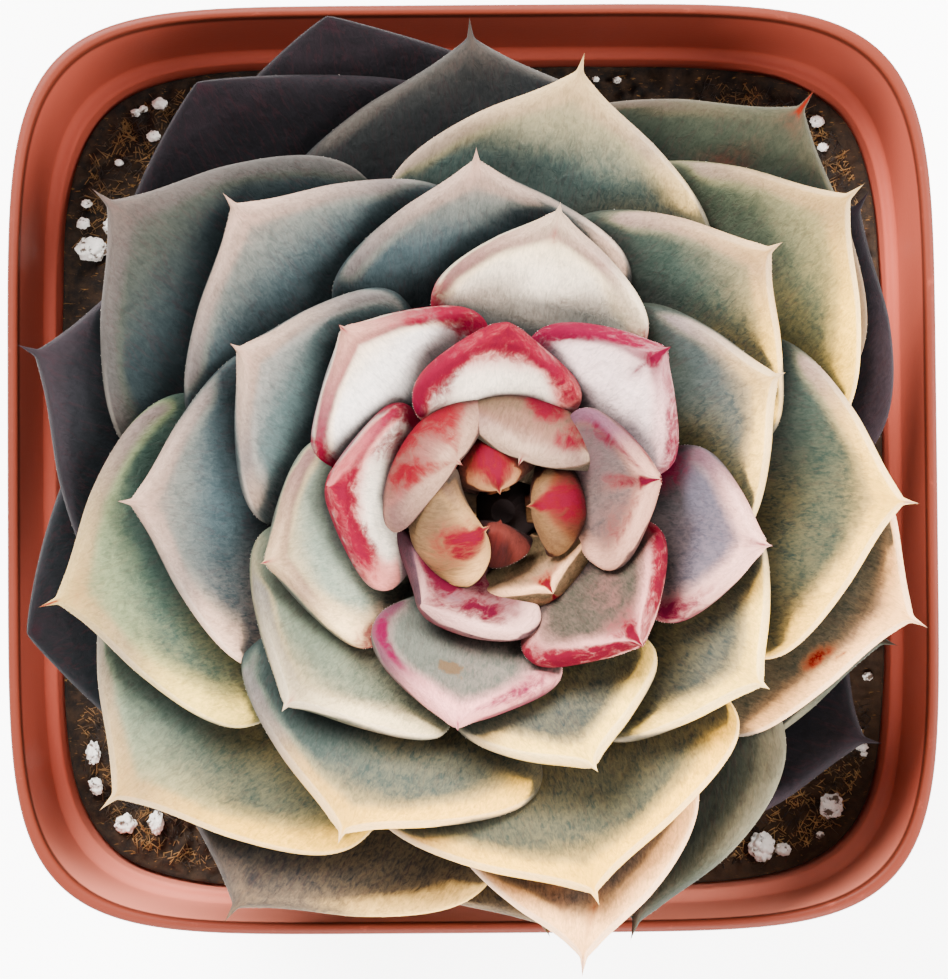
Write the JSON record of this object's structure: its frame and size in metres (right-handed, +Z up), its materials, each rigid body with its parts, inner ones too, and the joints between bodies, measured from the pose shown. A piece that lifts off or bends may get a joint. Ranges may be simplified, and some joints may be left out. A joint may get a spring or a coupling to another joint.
{
  "type": "potted echeveria",
  "caption": "Low rosette succulent with thick pointed leaves, each edged in a pale margin, growing from soil with white grains in a square, tapered plastic pot",
  "frame": {"origin": "the middle of the pot's underside", "axes": "+Z up, out of the pot; +Y away from the viewer at the top of the picture; +X to its right"},
  "size_m": [0.095, 0.0978, 0.1113],
  "materials": {
    "pot": "satin",
    "soil": "rough",
    "stem": "matte",
    "bud_leaf": "velvety",
    "inner_leaf": "velvety",
    "middle_leaf": "velvety",
    "outer_leaf": "velvety",
    "perlite": "matte"
  },
  "bodies": {
    "root": {"pot": "pot", "soil": "soil", "stem": "stem", "leaf_01": "bud_leaf", "leaf_02": "bud_leaf", "leaf_03": "bud_leaf", "leaf_04": "bud_leaf", "leaf_05": "bud_leaf", "leaf_06": "bud_leaf", "leaf_07": "bud_leaf", "leaf_08": "inner_leaf", "leaf_09": "inner_leaf", "leaf_10": "inner_leaf", "leaf_11": "inner_leaf", "leaf_12": "inner_leaf", "leaf_13": "inner_leaf", "leaf_14": "inner_leaf", "leaf_15": "inner_leaf", "leaf_16": "inner_leaf", "leaf_17": "inner_leaf", "leaf_18": "inner_leaf", "leaf_19": "inner_leaf", "leaf_20": "middle_leaf", "leaf_21": "middle_leaf", "leaf_22": "middle_leaf", "leaf_23": "middle_leaf", "leaf_24": "middle_leaf", "leaf_25": "middle_leaf", "leaf_26": "middle_leaf", "leaf_27": "middle_leaf", "leaf_28": "middle_leaf", "leaf_29": "middle_leaf", "leaf_30": "middle_leaf", "leaf_31": "middle_leaf", "leaf_32": "middle_leaf", "leaf_33": "middle_leaf", "leaf_34": "middle_leaf", "leaf_35": "middle_leaf", "leaf_36": "middle_leaf", "leaf_37": "middle_leaf", "leaf_38": "outer_leaf", "leaf_39": "outer_leaf", "leaf_40": "outer_leaf", "leaf_41": "outer_leaf", "leaf_42": "outer_leaf", "leaf_43": "outer_leaf", "leaf_44": "outer_leaf", "leaf_45": "outer_leaf", "leaf_46": "outer_leaf", "leaf_47": "outer_leaf", "leaf_48": "outer_leaf", "leaf_49": "outer_leaf", "perlite_1": "perlite", "perlite_2": "perlite", "perlite_3": "perlite", "perlite_4": "perlite", "perlite_5": "perlite", "perlite_6": "perlite", "perlite_7": "perlite"}
  },
  "joints": []
}
